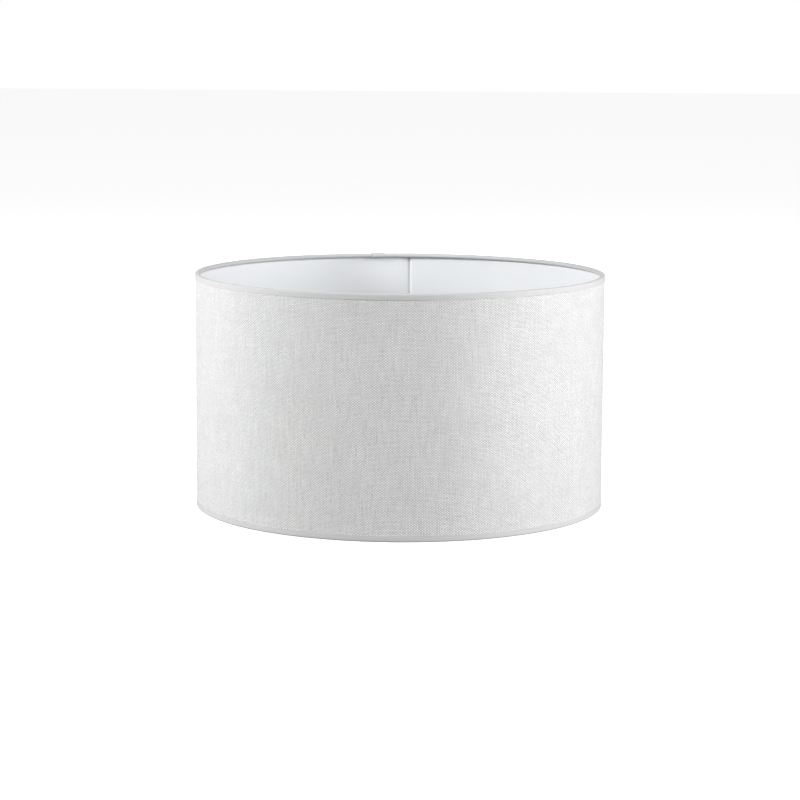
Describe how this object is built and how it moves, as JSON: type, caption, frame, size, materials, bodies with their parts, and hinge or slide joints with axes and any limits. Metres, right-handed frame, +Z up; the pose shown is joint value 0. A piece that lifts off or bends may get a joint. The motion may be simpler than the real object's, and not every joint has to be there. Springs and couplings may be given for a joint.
{
  "type": "lamp shade",
  "caption": "Straight drum lamp shade in laminated linen with bound rims, a lapped seam, a spider in the lower ring and a lift-out reducer ring.",
  "frame": {"origin": "on the shade's axis, in the plane of the lower rim", "axes": "+Z up along the shade's axis; +Y towards the lapped seam; +X along spoke_1"},
  "size_m": [0.3508, 0.3522, 0.2],
  "materials": {
    "linen": "plain-woven white linen, laminated flat",
    "liner_sheet": "smooth matt white sheet",
    "adhesive_tape": "thin clear double-sided film",
    "edge_tape": "smooth white edge tape",
    "ring_wire": "white powder coat",
    "fitter_steel": "white powder coat",
    "reducer_plastic": "moulded white plastic"
  },
  "bodies": {
    "shade": {"cover": "linen", "liner": "liner_sheet", "seam_tape": "adhesive_tape", "top_binding": "edge_tape", "bottom_binding": "edge_tape", "top_ring": "ring_wire", "bottom_ring": "ring_wire", "spoke_1": "ring_wire", "spoke_2": "ring_wire", "spoke_3": "ring_wire", "fitter_ring": "fitter_steel"},
    "reducer": {"reducer_ring": "reducer_plastic"}
  },
  "joints": [
    {"name": "reducer_lift", "type": "slide", "parent": "shade", "child": "reducer", "axis": [0, 0, 1], "range_m": [0, 0.19]}
  ]
}
